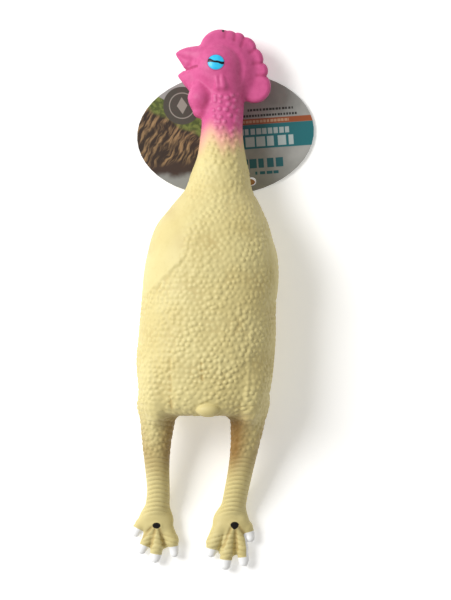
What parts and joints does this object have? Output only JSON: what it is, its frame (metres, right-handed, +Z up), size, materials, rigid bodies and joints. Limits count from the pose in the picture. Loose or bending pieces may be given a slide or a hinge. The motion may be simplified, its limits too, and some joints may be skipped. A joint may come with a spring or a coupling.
{
  "type": "rubber chicken",
  "caption": "Squeaky latex rubber chicken lying on its back, plucked and goose-bumped, with a pink head and comb, dangling legs and an oval card hang tag.",
  "frame": {"origin": "middle of the flat patch under the back that the toy lies on", "axes": "+Y from the feet to the head, +Z up from the back to the belly, +X towards the side away from the beak"},
  "size_m": [0.1069, 0.32, 0.0578],
  "materials": {
    "latex_cream": "matte latex with goose bumps",
    "latex_pink": "matte latex sprayed pink",
    "tag_card": "printed and varnished",
    "pin_nylon": "tinted nylon",
    "squeaker_plastic": "milky moulding",
    "reed_brass": "thin sheet"
  },
  "bodies": {
    "torso": {"torso_skin": "latex_cream", "squeaker_cup": "squeaker_plastic", "squeaker_reed_block": "squeaker_plastic", "squeaker_reed": "reed_brass"},
    "belly": {"belly_panel": "latex_cream"},
    "neck_base": {"neck_lower": "latex_cream", "tag_pin_barb": "pin_nylon", "tag_pin_paddle": "pin_nylon"},
    "neck_top": {"neck_upper": "latex_cream"},
    "head": {"head": "latex_pink"},
    "left_thigh": {"left_thigh": "latex_cream"},
    "left_shank": {"left_shank": "latex_cream"},
    "left_foot": {"left_foot": "latex_cream"},
    "right_thigh": {"right_thigh": "latex_cream"},
    "right_shank": {"right_shank": "latex_cream"},
    "right_foot": {"right_foot": "latex_cream"},
    "tag": {"hang_tag": "tag_card"}
  },
  "joints": [
    {"name": "belly_squeeze", "type": "slide", "parent": "torso", "child": "belly", "axis": [0, 0, -1], "range_m": [0, 0.02], "stiffness_N_per_m": 600},
    {"name": "neck_lift", "type": "hinge", "parent": "torso", "child": "neck_base", "pos_m": [0.0066, 0.072, 0.0245], "axis": [1, 0, 0], "range_deg": [-8, 40], "stiffness_Nm_per_rad": 0.8},
    {"name": "neck_side_bend", "type": "hinge", "parent": "neck_base", "child": "neck_top", "pos_m": [0.0076, 0.09, 0.0226], "axis": [0, 0, 1], "range_deg": [-30, 30], "stiffness_Nm_per_rad": 0.4},
    {"name": "head_twist", "type": "hinge", "parent": "neck_top", "child": "head", "pos_m": [0.0085, 0.104, 0.0203], "axis": [0, 1, 0], "range_deg": [-20, 20], "stiffness_Nm_per_rad": 0.2},
    {"name": "left_hip", "type": "hinge", "parent": "torso", "child": "left_thigh", "pos_m": [-0.0295, -0.0795, 0.0234], "axis": [-1, 0, 0], "range_deg": [-15, 45], "stiffness_Nm_per_rad": 0.3},
    {"name": "left_hock", "type": "hinge", "parent": "left_thigh", "child": "left_shank", "pos_m": [-0.0293, -0.097, 0.0178], "axis": [-1, 0, 0], "range_deg": [-30, 40], "stiffness_Nm_per_rad": 0.15},
    {"name": "left_ankle", "type": "hinge", "parent": "left_shank", "child": "left_foot", "pos_m": [-0.0292, -0.118, 0.011], "axis": [-1, 0, 0], "range_deg": [-30, 35], "stiffness_Nm_per_rad": 0.08},
    {"name": "right_hip", "type": "hinge", "parent": "torso", "child": "right_thigh", "pos_m": [0.0231, -0.0795, 0.0234], "axis": [-1, 0, 0], "range_deg": [-15, 45], "stiffness_Nm_per_rad": 0.3},
    {"name": "right_hock", "type": "hinge", "parent": "right_thigh", "child": "right_shank", "pos_m": [0.0203, -0.097, 0.0178], "axis": [-1, 0, 0], "range_deg": [-30, 40], "stiffness_Nm_per_rad": 0.15},
    {"name": "right_ankle", "type": "hinge", "parent": "right_shank", "child": "right_foot", "pos_m": [0.016, -0.118, 0.011], "axis": [-1, 0, 0], "range_deg": [-30, 35], "stiffness_Nm_per_rad": 0.08},
    {"name": "tag_swing", "type": "hinge", "parent": "neck_base", "child": "tag", "pos_m": [0.016, 0.07, 0.0015], "axis": [0, 0, 1], "range_deg": [-25, 25]}
  ]
}
